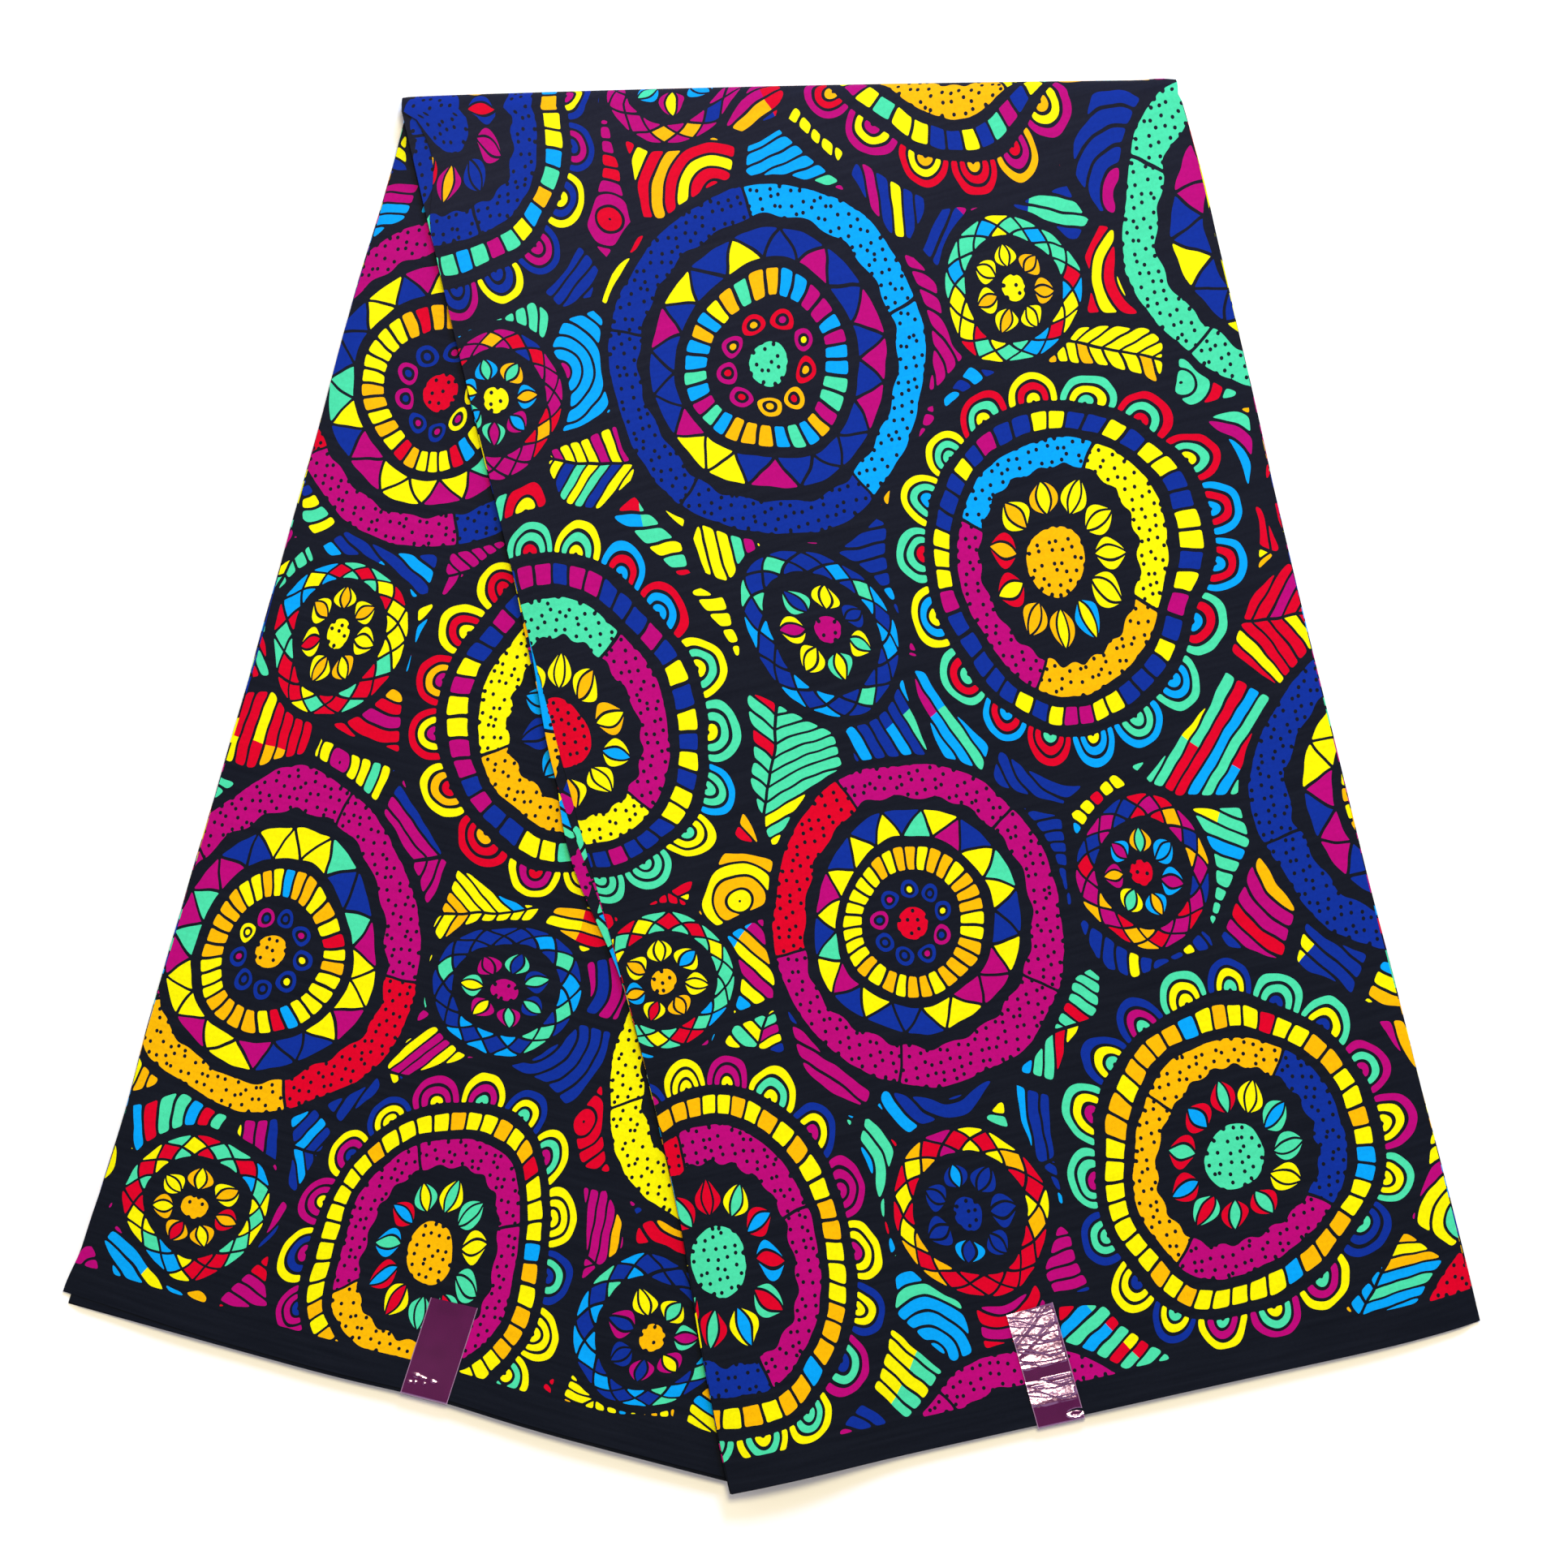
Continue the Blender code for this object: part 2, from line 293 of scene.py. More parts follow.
def rosettes(tree, coords, drawn):
    """The rosettes. Gives how deep a point lies inside an inked part, in metres, the part's palette and
    random number, and how far the point lies outside every rosette.

    A sunburst stands at each corner of a square lattice, a wheel in each middle, and a button halfway
    along each side. A point belongs to the first of these whose outline it is inside. Its radius gives
    the ring, and its angle times the ring's number of sectors gives the sector and the place across it."""
    radii = {name: rings[-1][1] * MM + RIM for name, rings in ROSETTES.items()}
    half = ROSETTE_PITCH / 2
    sunburst, _, luck_sunburst = places(tree, drawn, ROSETTE_PITCH, ROSETTE_START, JITTER["sunburst"], 1.0)
    wheel, _, luck_wheel = places(tree, drawn, ROSETTE_PITCH, ROSETTE_START + half, JITTER["wheel"], 2.0)
    button, cell, luck_button = places(tree, drawn, half, ROSETTE_START + 1.5 * half, JITTER["button"], 3.0)
    column, row, _ = split(tree, cell)
    no_button = (column + row).wrapped(2.0).over(0.5).from_one()

    from_sunburst = length(tree, sunburst)
    from_wheel = length(tree, wheel)
    from_button = length(tree, button) + no_button
    in_sunburst = from_sunburst.under(radii["sunburst"])
    in_wheel = from_wheel.under(radii["wheel"])
    outside = (from_sunburst - radii["sunburst"]).least(from_wheel - radii["wheel"])
    outside = outside.least(from_button - radii["button"])

    def belonging(of_sunburst, of_wheel, of_button):
        """The vector of the kind of rosette that the point belongs to."""
        other = mix(tree, "VECTOR", in_wheel, of_button, of_wheel)
        return mix(tree, "VECTOR", in_sunburst, other, of_sunburst)

    here = belonging(sunburst, wheel, button)
    luck = luck_button.blend(luck_wheel, in_wheel).blend(luck_sunburst, in_sunburst)
    radius = from_button.blend(from_wheel, in_wheel).blend(from_sunburst, in_sunburst)
    looks, sizes = zip(*(ring_tables(tree, radius, rings) for rings in ROSETTES.values()))
    look_parts = split(tree, belonging(*looks))
    sectors = (look_parts[0] * MOST_SECTORS + 0.5).floor()
    shape = (look_parts[1] * len(SHAPES) + 0.5).floor()
    palette = look_parts[2] * len(PALETTES) + 0.5 + (luck * 5.0).floor()
    palette = palette.floor().wrapped(len(PALETTES))
    inner, width, _ = split(tree, belonging(*sizes))

    x, y, _ = split(tree, here)
    turn = y.math("ARCTAN2", x) / (2 * math.pi) + luck
    walk = turn * sectors
    sector = walk.floor().wrapped(sectors)
    across = (walk.fraction() - 0.5).size() * 2.0
    arc = radius * (2 * math.pi) / sectors
    out = (radius - inner) / width
    from_inner = out * width + inner.under(0.1 * MM)
    to_rim = from_inner.least(out.from_one() * width)
    to_side = across.from_one() * arc * 0.5 + sectors.under(1.5)

    is_shape = {name: shape.equals(number) for number, name in enumerate(SHAPES)}
    depth = {}
    depth["bars"] = to_side - LINE
    lean = out.from_one() - across
    depth["teeth"] = lean.size() * arc * 0.42 - LINE
    arch = length(tree, vector(tree, across, out * 0.97)) * 3.0
    shell = arch.line_distance() * width * 0.33 - LINE
    depth["shells"] = shell.least(arch.math("MULTIPLY_ADD", -1.0, 3.0))
    outline = (out.math("POWER", 0.8) * math.pi).sine()
    heart = outline * 0.42 - across
    petal = (outline - across) * arc * 0.5 - LINE
    depth["petals"] = petal.least(heart.size() * arc * 0.5 - LINE * 0.8)
    corner = across + (out * 2.0 - 1.0).size() - 1.0
    depth["diamonds"] = corner.size() * arc * 0.36 - LINE
    bead_radius = arc.least(width) * 0.44
    bead = length(tree, vector(tree, across * arc * 0.5, (out - 0.5) * width))
    bead_eye = bead_radius * 0.45 - bead
    depth["beads"] = (bead_radius - bead).least(bead_eye.size() - LINE)
    dots = voronoi(tree, coords, DOT_SPACING, DOT_SCATTER).outputs["Distance"]
    dots = Number(tree, dots) * DOT_SPACING
    ripple = ((turn * (2 * RIPPLES) * math.pi).sine() + 1.0) * RIPPLE
    solid = (dots - DOT_RADIUS).least(to_side - LINE)
    depth["dotted"] = solid.least_rounded(from_inner - ripple, 0.8 * MM)

    inside = is_shape["ground"] * -1.0
    for name, part_depth in depth.items():
        inside = inside + is_shape[name] * part_depth
    inside = inside.least_rounded(to_rim, INK_ROUNDING)

    between = is_shape["teeth"] * (lean * -1.0).over(0.0) + is_shape["diamonds"] * corner.over(0.0)
    part = sector.blend((walk + 0.5).floor().wrapped(sectors) + 0.5, between)
    part = part + is_shape["shells"] * arch.floor() * 0.21 + is_shape["petals"] * heart.over(0.0) * 0.3
    part = part + is_shape["beads"] * bead_eye.over(0.0) * 0.4
    part_luck, _ = chance(tree, vector(tree, part * 1.7, inner * 1000.0, luck * 91.0))
    return inside, palette, part_luck, outside


def patches(tree, drawn, outside, from_band):
    """The field between the rosettes: rounded patches filled with arcs, leaf veins or stripes. Each patch is
    a cell of scattered points, clear of the rosettes and the bands, and its fill turns by a random angle."""
    cell = voronoi(tree, drawn, PATCH_SIZE, PATCH_SCATTER)
    edge = voronoi(tree, drawn, PATCH_SIZE, PATCH_SCATTER, "DISTANCE_TO_EDGE").outputs["Distance"]
    to_edge = (Number(tree, edge) * PATCH_SIZE).least_rounded(outside, PATCH_ROUNDING)
    to_edge = to_edge.least_rounded(from_band, PATCH_ROUNDING) - PATCH_GAP
    spin, kind, tint = split(tree, cell.outputs["Color"])
    x, y, _ = split(tree, vector_math(tree, "SUBTRACT", drawn, cell.outputs["Position"]))
    cosine = (spin * 2 * math.pi).math("COSINE")
    sine = (spin * 2 * math.pi).sine()
    along = x * cosine + y * sine
    aside = y * cosine - x * sine
    veined = kind.over(VEINED_FROM)
    striped = kind.over(STRIPED_FROM)
    arcs = length(tree, vector(tree, along + ARCS_OFFSET, aside))
    run = arcs.blend(along + aside.size() * 0.7 + 1.0, veined).blend(along + 1.0, striped)
    band = run / PATCH_STEP
    inside = band.line_distance() * PATCH_STEP - LINE * 0.9
    rib = (aside.size() - LINE) + (veined - striped).from_one()
    inside = inside.least(rib).least_rounded(to_edge, FILL_ROUNDING)
    seeds = vector(tree, band.floor() * 1.3 + aside.over(0.0) * veined * 0.3, spin * 77.0, tint * 55.0)
    luck, _ = chance(tree, seeds)
    return inside, (tint * len(PALETTES)).floor(), luck * luck


def print_design(tree, coords, from_band):
    """The printed colour, and how deep each point lies inside its inked part, in metres. A smooth drift of
    the coordinates, in three sizes of wave, gives the rosettes and their lines a hand-drawn sway."""
    tall = vector_math(tree, "MULTIPLY", coords, (1.0, 0.92, 0.0))
    sway = noise(tree, tall, 7.0, 2.0, "Color", lacunarity=4.2, roughness=0.21)
    sway = vector_math(tree, "MULTIPLY_ADD", sway, (SWAY, SWAY, 0.0), (-SWAY / 2, -SWAY / 2, 0.0))
    drawn = vector_math(tree, "ADD", tall, sway)
    inside, palette, luck, outside = rosettes(tree, tall, drawn)
    field_inside, field_palette, field_luck = patches(tree, drawn, outside, from_band)
    in_rosette = outside.under(0.0)
    inside = field_inside.blend(inside, in_rosette)
    palette = field_palette.blend(palette, in_rosette)
    luck = field_luck.blend(luck, in_rosette)
    stops = []
    for number, inks in enumerate(PALETTES.values()):
        start = 0
        for ink, share in inks.items():
            stops.append(((number + start / PALETTE_SHARES) / len(PALETTES), INKS[ink]))
            start += share
    return steps(tree, (palette + luck * 0.996) / len(PALETTES), stops), inside


def new_material(name, finish):
    """A material, its nodes and its shader, whose own sockets get the values of the finish."""
    material = bpy.data.materials.new(name)
    material.use_nodes = True
    shader = material.node_tree.nodes["Principled BSDF"]
    for socket, value in finish.items():
        shader.inputs[socket].default_value = value
    return material, material.node_tree, shader


def add_bump(tree, shader, height, strength, distance):
    inputs = {"Height": height, "Strength": strength, "Distance": distance}
    plug(tree, shader.inputs["Normal"], shader_node(tree, "Bump", inputs).outputs[0])


def make_cotton():
    """Printed cotton: the print, plain bands along both selvages, slubs, the threads of a plain weave, and a
    faint painted sheen. That sheen is a pale bluish colour, added in place of light glancing off the cloth,
    and it shows most on the ground, near the cloth's middle, where the top fold is."""
    finish = {"Roughness": 0.8, "Specular IOR Level": 0.04, "Sheen Weight": 0.01, "Sheen Roughness": 0.4}
    material, tree, shader = new_material("printed_cotton", finish)
    coords = shader_node(tree, "UVMap", [], uv_map="cloth").outputs[0]
    u, v, _ = split(tree, coords)

    from_selvage = v.least(v.math("MULTIPLY_ADD", -1.0, CLOTH_WIDTH))
    ink, inside = print_design(tree, coords, from_selvage - (SELVAGE_BAND - BAND_OVERLAP))
    printed = inside.least_rounded(from_selvage - SELVAGE_BAND, INK_ROUNDING)
    in_band = from_selvage.under(SELVAGE_BAND)

    mottle = Number(tree, noise(tree, coords, MOTTLE_SCALE, 2.0))
    slubs = Number(tree, noise(tree, vector_math(tree, "MULTIPLY", coords, SLUB_SCALES), 1.0, 2.0))
    warp = (u * (2 * math.pi / THREAD)).sine()
    weft = (v * (2 * math.pi / THREAD)).sine()
    weave = warp * weft
    shade = mottle * 0.22 + slubs * 0.16 + weave * 0.03 + 0.81
    washed = tuple(1.35 * part + 0.002 for part in INKS["ground"])
    ground = mix(tree, "RGBA", slubs, INKS["ground"], washed)
    colour = mix(tree, "RGBA", printed.over(0.0), ground, ink)
    # Painted sheen: a pale colour added towards the top fold in place of light glancing off the cloth,
    # fainter on the inks.
    painted_sheen = ((v - CLOTH_WIDTH / 2).size() * (-1 / PAINTED_SHEEN_REACH)).math("EXPONENT")
    painted_sheen = painted_sheen * (printed.over(0.0) * (PAINTED_SHEEN_ON_INK - 1.0) + 1.0)
    colour = vector_math(tree, "MULTIPLY_ADD", painted_sheen, PAINTED_SHEEN, colour)
    plug(tree, shader.inputs["Base Color"], vector_math(tree, "MULTIPLY", colour, shade))
    relief = weave * 0.5 + mottle * 1.6 + slubs * (in_band * 4.0 + 1.6)
    add_bump(tree, shader, relief, 0.6, 0.03 * MM)
    return material


cotton = make_cotton()

# The folding. The cloth goes to and fro across a strip in seventeen layers, and the strip is doubled over
# at the top fold. Its halves fan out, the front one to the right and over the back one. Layer 1 is the
# innermost one, which is the back half's face, and layer 17 the outermost.
LAYERS = 17
CLOTH = 0.34 * MM
PITCH = 0.4 * MM
STACK = LAYERS * PITCH
HALF_GAP = 0.15 * MM
MIDDLE = STACK + HALF_GAP
FOLD_LENGTH = 0.331
FOLD_TILT = math.radians(1.33)
FOLD_BULGE = 1 * MM
FOLD_CORNER = {"height": 0.7 * MM, "across": 0.98, "reach": 0.016}
PINCH = {"across": 0.54, "reach": 0.1, "power": 16}
HALVES = {
    "front": {
        "lean": math.radians(13.45), "length": 0.58, "width": 0.3275, "tilt": math.radians(13.1),
        "swell": 0.0018, "late_swell": 0.0018, "corner": 0.0017, "pinch": 0.0,
        "bow": 0.0066, "bow_peak": 0.73, "bow_power": 2,
    },
    "back": {
        "lean": math.radians(-16.4), "length": 0.5835, "width": 0.302, "tilt": math.radians(-15.1),
        "swell": 0.0008, "late_swell": 0.0, "corner": 0.0, "pinch": 0.0016,
        "bow": 0.0029, "bow_peak": 0.55, "bow_power": 1,
    },
}
STRIP = HALVES["front"]["width"]
SINK = MIDDLE + HALF_GAP
SINK_STARTS = 14 * MM
SINK_WIDTH = 54 * MM
UNEVENNESS = 0.045
WAVE_LENGTHS = (0.21, 0.15, 0.11, 0.08, 0.058)
WAVE_HEIGHT = 0.42
WAVES_START = 0.07
COLUMNS = 40
ROWS = 84

# The strip's sides are folds, two layers to each, numbered from the outside in. Each row has its folds, the
# half, the two ends of a stretch as shares of the way down, and how far in mm the folds peek out at its
# middle, below 0 where they stay back.
LEFT_SIDES = [
    ([0], "front", -0.028, 0.090, -8.2),
    ([1], "front", 0.365, 0.600, 4.4),
    ([2], "front", 0.430, 0.640, 7.6),
    ([3], "front", 0.300, 0.560, 2.6),
    ([1], "front", 0.800, 0.990, 1.2),
    ([8], "back", 0.952, 1.050, 2.6),
    (range(8), "back", 0.880, 1.120, -1.2),
    (range(9), "back", -0.100, 0.190, -1.45),
    (range(9), "back", 0.440, 0.880, 0.9),
    (range(9), "back", 0.760, 0.960, -0.9),
]
RIGHT_SIDES = [
    ([1], "front", 0.900, 1.100, 1.1),
    ([3], "front", 0.860, 1.100, 0.8),
    ([2], "front", 0.020, 0.260, 0.9),
    (range(9), "front", -0.040, 0.130, 1.2),
    (range(9), "front", -0.060, 0.420, 1.7),
    (range(9), "front", 0.620, 1.180, 0.9),
]
# How far each layer's selvage reaches past the end of its half, in mm, from layer 1 on. At the left corner
# of the back half the two top layers stay back further.
SELVAGE_REACH = {
    "front": [-1.6, -1.2, -1.4, -0.9, -1.1, -0.6, -0.9, -0.4, -0.8,
              -0.3, 0.1, -0.2, 0.3, 0.2, -0.2, 0.1, 0.0],
    "back": [-2.1, -1.9, -0.5, -0.6, -0.3, -0.5, -0.3, -0.4, -0.1,
             -0.2, 0.0, -0.1, 0.2, 0.1, 0.3, 0.2, 0.4],
}
REACH_POWER = 14
SIDE_TURNS = (1.3, 2.9, 5.3)
SIDES_START = 0.08
ROWS_START = 0.006
CORNER_STEP = {"layers": 2, "back": 2 * MM, "width": 0.25}
SIDE_SQUASH = 0.34
SIDE_ROUNDING = 4.2 * MM
TOP_SIDE_ROUNDING = 7 * MM
SQUASH_START = 0.05
# Where the stack is pressed down: the half, the place across and down it, the reach in mm and the share lost
PRESSED = [
    ("back", 0.524, 0.95, 26, 0.16),
    ("front", 0.443, 0.94, 26, 0.14),
    ("back", 0.0, 1.0, 36, 0.45),
    ("front", 1.0, 1.0, 34, 0.40),
]
LOFT = {"across": 0.8, "reach": 85 * MM, "height": 0.36}


def smooth_step(x):
    x = np.clip(x, 0.0, 1.0)
    return x * x * (3.0 - 2.0 * x)


def bell(x):
    """A bell: e to the power of minus x squared."""
    return np.exp(-(x ** 2))


def heading(angle):
    return np.array([math.cos(angle), math.sin(angle)])


FOLD_ALONG = heading(FOLD_TILT)
FOLD_OUT = heading(FOLD_TILT + math.pi / 2)


def axis_point(across):
    """The plan point on the line that the strip bends round, across from 0 at its left end to 1."""
    across = np.asarray(across)[..., None]
    return -MIDDLE * FOLD_OUT + (across - 0.5) * FOLD_LENGTH * FOLD_ALONG


def selvage_end(half, across):
    """The plan point on a half's selvage edge, across from 0 at its left end to 1."""
    size = HALVES[half]
    centre = size["length"] * np.array([math.sin(size["lean"]), -math.cos(size["lean"])])
    return centre + (np.asarray(across)[..., None] - 0.5) * size["width"] * heading(size["tilt"])


def unit(vectors):
    return vectors / np.linalg.norm(vectors, axis=-1, keepdims=True)


def directions(half, down):
    """Unit plan vectors across a half and down it, a share down of the way from the fold to the selvages."""
    down = np.asarray(down)[..., None]
    left = axis_point(0.0) * (1 - down) + selvage_end(half, 0.0) * down
    right = axis_point(1.0) * (1 - down) + selvage_end(half, 1.0) * down
    return unit(right - left), unit(selvage_end(half, 0.5) - axis_point(0.5))


def fold_bulge(across):
    """How far the top fold stands out, in metres: a sine of the way across, one that leans to its left end,
    and a bell by the right corner."""
    corner = FOLD_CORNER["height"] * bell((across - FOLD_CORNER["across"]) / FOLD_CORNER["reach"])
    return FOLD_BULGE * (np.sin(np.pi * across) + 0.45 * np.sin(np.pi * across ** 0.35)) + corner


def outline_point(half, across, down):
    """The plan point of a half: a straight line from the fold to the selvage, plus the bow of its left side,
    a sine of the way down, and the fold's bulge. The selvage swells by two sines of the way across, the late
    one nearer its right end, drops towards its right corner and is pinched in at the seal, by a bell."""
    size = HALVES[half]
    share = np.asarray(down)[..., None]
    point = axis_point(across) * (1 - share) + selvage_end(half, across) * share
    exponent = math.log(0.5) / math.log(size["bow_peak"])
    bow = size["bow"] * np.sin(np.pi * down ** exponent) ** size["bow_power"] * (1 - across) ** 2
    swell = size["swell"] * np.sin(np.pi * across) + size["late_swell"] * np.sin(np.pi * across ** 5)
    swell = (swell + size["corner"] * across ** 5) * down
    pinch = bell((across - PINCH["across"]) / PINCH["reach"]) * down ** PINCH["power"]
    swell = swell - size["pinch"] * pinch
    bulge = fold_bulge(across) * (1 - down) ** 3
    across_way, down_way = directions(half, down)
    return point + bow[..., None] * across_way + swell[..., None] * down_way + bulge[..., None] * FOLD_OUT


def sink_share(plan):
    """How much of the way to the table the front half has sunk: a smooth step past the back half's side."""
    start, end = axis_point(1.0), selvage_end("back", 1.0)
    along = unit(end - start)
    beyond = (plan - start) @ np.array([-along[1], along[0]])
    return smooth_step((beyond - SINK_STARTS) / SINK_WIDTH)


def unevenness(plan, seed):
    """Soft waves of the pressed stack, from about -1 to 1: a sum of plane waves, each with its own length,
    heading and phase, which fades out towards the top fold."""
    luck = np.random.default_rng(seed)
    total = 0.0
    for wave_length in WAVE_LENGTHS:
        way = heading(luck.uniform(0, 2 * math.pi))
        phase = luck.uniform(0, 2 * math.pi)
        total = total + WAVE_HEIGHT * np.sin(plan @ way * (2 * np.pi / wave_length) + phase)
    away = -(plan @ FOLD_OUT)
    return total * smooth_step(away / WAVES_START)


def pressed(half, plan):
    """How much of its height the stack loses under a seal and at a flattened corner: a bell round each."""
    lost = np.zeros(plan.shape[:-1])
    for of_half, across, down, reach, depth in PRESSED:
        if of_half == half:
            centre = outline_point(half, np.array(across), np.array(down))
            gap = np.linalg.norm(plan - centre, axis=-1)
            lost = lost + depth * bell(gap / (reach * MM))
    return lost


def loft(plan):
    """How much thicker the back half is where it lies loose, next to the front half's selvage: a bell."""
    gap = np.linalg.norm(plan - selvage_end("back", LOFT["across"]), axis=-1)
    return LOFT["height"] * bell(gap / LOFT["reach"])


def stack_height(half, plan, from_left, down, radius):
    """The height of a point in the stack. from_left is its distance in from the strip's left side, and
    radius its distance out from the inner face of layer 1. The stack is pressed thinner at its sides and
    under the seals. The front half lies on the back one, and sinks to the table beside it."""
    left_rounding = TOP_SIDE_ROUNDING if half == "front" else SIDE_ROUNDING
    squash = bell(np.maximum(from_left, 0) / left_rounding)
    squash = squash + bell(np.maximum(STRIP - from_left, 0) / SIDE_ROUNDING)
    squash = SIDE_SQUASH * squash * smooth_step(down / SQUASH_START) + pressed(half, plan)
    lumps = UNEVENNESS * unevenness(plan, 11) + loft(plan)
    if half == "back":
        return (STACK - radius) * (1 - squash) * (1 + lumps)
    own = UNEVENNESS * unevenness(plan, 23)
    return (SINK + STACK * lumps) * (1 - sink_share(plan)) + radius * (1 - squash) * (1 + own)


def side_move(rows, half, side, fold, down):
    """How far a fold of one side stands out, in metres: three slow sines of the way down, and its own rows
    of the table, each a squared sine between its two ends. There is none at the top fold."""
    luck = np.random.default_rng(1000 * side + 10 * fold + (half == "front"))
    move = 0.0
    for turns in SIDE_TURNS:
        move = move + luck.uniform(0.05, 0.30) * MM * np.sin(2 * np.pi * (turns * down + luck.uniform()))
    move = move * smooth_step(down / SIDES_START)
    for folds, of_half, start, end, out in rows:
        if fold in folds and of_half == half:
            share = np.clip((down - start) / (end - start), 0.0, 1.0)
            move = move + out * MM * np.sin(np.pi * share) ** 2 * smooth_step(down / ROWS_START)
    return move


def stations(last, first):
    """The path of the cloth across the strip, from layer last in to layer first, as arrays along the path.
    Odd layers run to the left and even ones to the right, and a half circle joins each to the next. At each
    station the cloth has two faces, a and b. across is the place across the strip, radius the distance out,
    bulge how far the round side stands out, layer the layer's number and travel the distance along it."""
    gap = PITCH - CLOTH
    nose = np.radians([60.0, 30.0, 0.0, -30.0, -60.0])
    parts = []
    travel = (LAYERS - last) * (STRIP + np.pi * PITCH / 2)
    for layer in range(last, first - 1, -1):
        share = np.linspace(0, 1, COLUMNS)
        share = 0.2 * share + 0.8 * (0.5 - 0.5 * np.cos(np.pi * share))
        low = (layer - 1) * PITCH + gap
        leftward = layer % 2 == 1
        faces = [low + CLOTH, low] if leftward else [low, low + CLOTH]
        flat = np.zeros(COLUMNS)
        parts.append([1 - share if leftward else share, flat + faces[0], flat + faces[1], flat, flat,
                      flat + layer, travel + share * STRIP])
        travel += STRIP
        if layer > first:
            bends = [gap / 2 + CLOTH, gap / 2] if leftward else [gap / 2, gap / 2 + CLOTH]
            turn = np.zeros(nose.size)
            middle = low - gap / 2
            walked = travel + (0.5 - nose / np.pi) * np.pi * PITCH / 2
            parts.append([turn + (0.0 if leftward else 1.0),
                          middle + bends[0] * np.sin(nose), middle + bends[1] * np.sin(nose),
                          bends[0] * np.cos(nose), bends[1] * np.cos(nose),
                          layer - 0.5 + 0.5 * np.sin(nose), walked])
            travel += np.pi * PITCH / 2
    names = ("across", "radius_a", "radius_b", "bulge_a", "bulge_b", "layer", "travel")
    return dict(zip(names, np.concatenate(parts, axis=1)))


def folded_cloth(last, first):
    """Layers of the cloth as one closed skin: the path across the strip, with its two faces, is carried up
    the front half from its selvage, round the top fold and down the back half. Gives points, quads, u, v."""
    path = stations(last, first)
    both = {name: np.concatenate([path[name], path[name][::-1]]) for name in ("across", "layer", "travel")}
    for name in ("radius", "bulge"):
        both[name] = np.concatenate([path[name + "_a"], path[name + "_b"][::-1]])
    across, radius = both["across"][None, :], both["radius"][None, :]
    way_out = np.where(across < 0.5, -1.0, 1.0) * both["bulge"]
    layer = np.round(both["layer"] + 0.01).astype(int)
    left_fold, right_fold = (LAYERS - layer) // 2, (LAYERS + 1 - layer) // 2

    share = np.linspace(0, 1, ROWS + 1)[1:, None]
    down = 0.5 * share + 0.5 * (0.5 - 0.5 * np.cos(np.pi * share)) + 0.0 * across
    grids = {}
    folds = range(LAYERS // 2 + 1)
    for half in HALVES:
        left, right = (np.stack([side_move(rows, half, side, fold, down[:, 0]) for fold in folds], axis=1)
                       for side, rows in enumerate((LEFT_SIDES, RIGHT_SIDES)))
        move = right[:, right_fold] * across ** 7 - left[:, left_fold] * (1 - across) ** 7
        reach = np.interp(both["layer"], np.arange(1, LAYERS + 1), SELVAGE_REACH[half]) * MM
        if half == "back":
            stepped = both["layer"] < CORNER_STEP["layers"] + 0.5
            reach = reach - CORNER_STEP["back"] * stepped * smooth_step(1 - across / CORNER_STEP["width"])
        reach = reach * down ** REACH_POWER
        across_way, down_way = directions(half, down)
        plan = outline_point(half, across + 0 * down, down)
        plan = plan + move[..., None] * across_way + reach[..., None] * down_way
        height = stack_height(half, plan, across * STRIP + move, down, radius)
        plan = plan + (way_out * (1 - 0.5 * SIDE_SQUASH))[..., None] * across_way
        grids[half] = np.dstack([plan, height])

    turn = np.linspace(0, np.pi, 11)[:, None]
    bend_radius = HALF_GAP + radius
    out = bend_radius * np.sin(turn) + fold_bulge(across)
    plan = axis_point(across) + way_out[..., None] * FOLD_ALONG + out[..., None] * FOLD_OUT
    bend = np.dstack([plan, MIDDLE + bend_radius * np.cos(turn)])
    points = np.concatenate([grids["front"][::-1], bend, grids["back"]])

    long = {half: np.linalg.norm(selvage_end(half, across) - axis_point(across), axis=-1)
            for half in HALVES}
    round_fold = np.pi * (HALF_GAP + both["layer"] * PITCH)
    distance = np.concatenate([
        (1 - down[::-1]) * long["front"],
        long["front"] + turn / np.pi * round_fold,
        long["front"] + round_fold + down * long["back"],
    ])
    v = distance * CLOTH_WIDTH / distance[-1]
    u = both["travel"] + 0 * v

    index = np.arange(points.shape[0] * points.shape[1]).reshape(points.shape[:2])
    following = np.roll(index, -1, axis=1)
    quads = np.stack([index[:-1], index[1:], following[1:], following[:-1]], axis=-1).reshape(-1, 4)
    ends = len(path["across"])
    a, b = np.arange(ends - 1), 2 * ends - 1 - np.arange(ends - 1)
    start, end = index[0], index[-1]
    caps = [[start[a], start[a + 1], start[b - 1], start[b]], [end[a], end[b], end[b - 1], end[a + 1]]]
    quads = np.concatenate([quads] + [np.stack(cap, axis=-1) for cap in caps])
    return points.reshape(-1, 3), quads, np.stack([u, v], axis=-1).reshape(-1, 2)


def layout_shift():
    """The move from the strip's own layout to the frame: the middles of the two plan boxes come together."""
    low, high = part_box("outer_leaf")
    ends = np.array([selvage_end("back", 0.0)[0], selvage_end("front", 1.0)[0]])
    tops = np.array([(axis_point(1.0) + MIDDLE * FOLD_OUT)[1], selvage_end("front", 0.0)[1] - 0.45 * MM])
    return np.array([(low.x + high.x) / 2 - ends.mean(), (low.y + high.y) / 2 - tops.mean(), low.z])


SHIFT = layout_shift()


